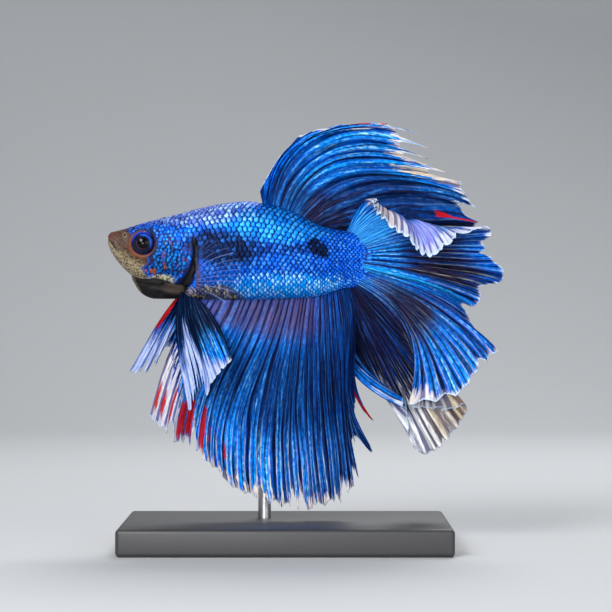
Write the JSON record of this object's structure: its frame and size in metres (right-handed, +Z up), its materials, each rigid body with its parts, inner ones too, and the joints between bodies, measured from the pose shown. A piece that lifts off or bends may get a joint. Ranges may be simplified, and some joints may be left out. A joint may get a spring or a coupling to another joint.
{
  "type": "betta fish",
  "caption": "Blue long-finned male betta fish, a still life-size model in profile with spread veil fins, held by a rod on a plain flat display base",
  "frame": {"origin": "centre of the underside of the display stand's base, on the ground", "axes": "+Z up; the fish's head points to -X and its tail fin to +X; its left side faces -Y"},
  "size_m": [0.073, 0.04, 0.078],
  "materials": {
    "blue_skin": "iridescent blue scales, glossy",
    "tan_skin": "brown and tan bare skin",
    "black_membrane": "black gill membrane",
    "eye": "dark glossy eye with a brown ring",
    "blue_fin": "blue rayed fin, navy between the rays, pale fringe",
    "pale_fin": "dark root, blue middle and white tips",
    "clear_fin": "see-through membrane with thin rays",
    "stand": "plain dark grey base",
    "rod": "plain grey metal rod"
  },
  "bodies": {
    "root": {"head": "blue_skin", "lower_jaw": "tan_skin", "trunk": "blue_skin", "tail_root": "blue_skin", "gill_membrane": "black_membrane", "eye_left": "eye", "eye_right": "eye", "dorsal_fin": "blue_fin", "anal_fin": "blue_fin", "caudal_fin": "blue_fin", "pelvic_fin_left": "pale_fin", "pelvic_fin_right": "pale_fin", "pectoral_fin_left": "clear_fin", "pectoral_fin_right": "clear_fin", "stand_base": "stand", "stand_rod": "rod"}
  },
  "joints": []
}
